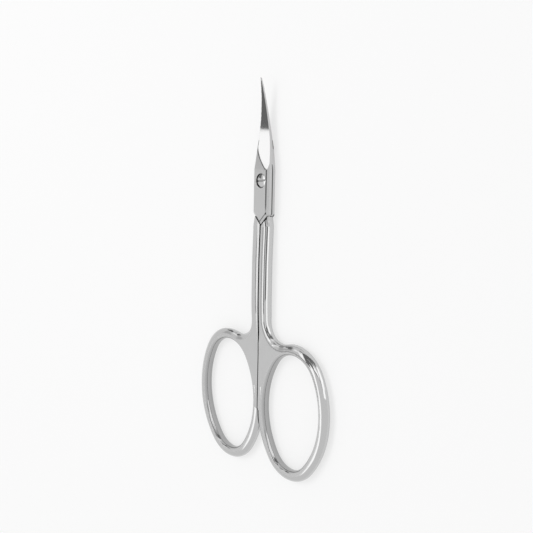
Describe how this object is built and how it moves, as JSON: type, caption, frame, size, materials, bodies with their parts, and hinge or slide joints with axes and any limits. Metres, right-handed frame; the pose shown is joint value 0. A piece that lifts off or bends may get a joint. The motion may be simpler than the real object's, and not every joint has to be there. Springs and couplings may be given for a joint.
{
  "type": "cuticle scissors",
  "caption": "Small grooming scissors with curved hollow-ground blades, slim shanks and oval finger bows, opening on a recessed pivot screw.",
  "frame": {"origin": "pivot axis where it meets the back face of the joint, on which the scissors lie", "axes": "+Z out of the front, through the screw head; +Y from the pivot to the tips; +X toward the bow of the front half"},
  "size_m": [0.0474, 0.095, 0.0036],
  "materials": {
    "forged_steel_back": "satin flats with mirror-polished rounded sides and blades",
    "forged_steel_front": "satin flats with mirror-polished rounded sides and blades",
    "screw_steel": "polished domed head"
  },
  "bodies": {
    "back_blade": {"back_half": "forged_steel_back", "pivot_screw": "screw_steel"},
    "front_blade": {"front_half": "forged_steel_front"}
  },
  "joints": [
    {"name": "pivot", "type": "hinge", "parent": "back_blade", "child": "front_blade", "pos_m": [0, 0, 0.00145], "axis": [0, 0, 1], "range_deg": [0, 55]}
  ]
}
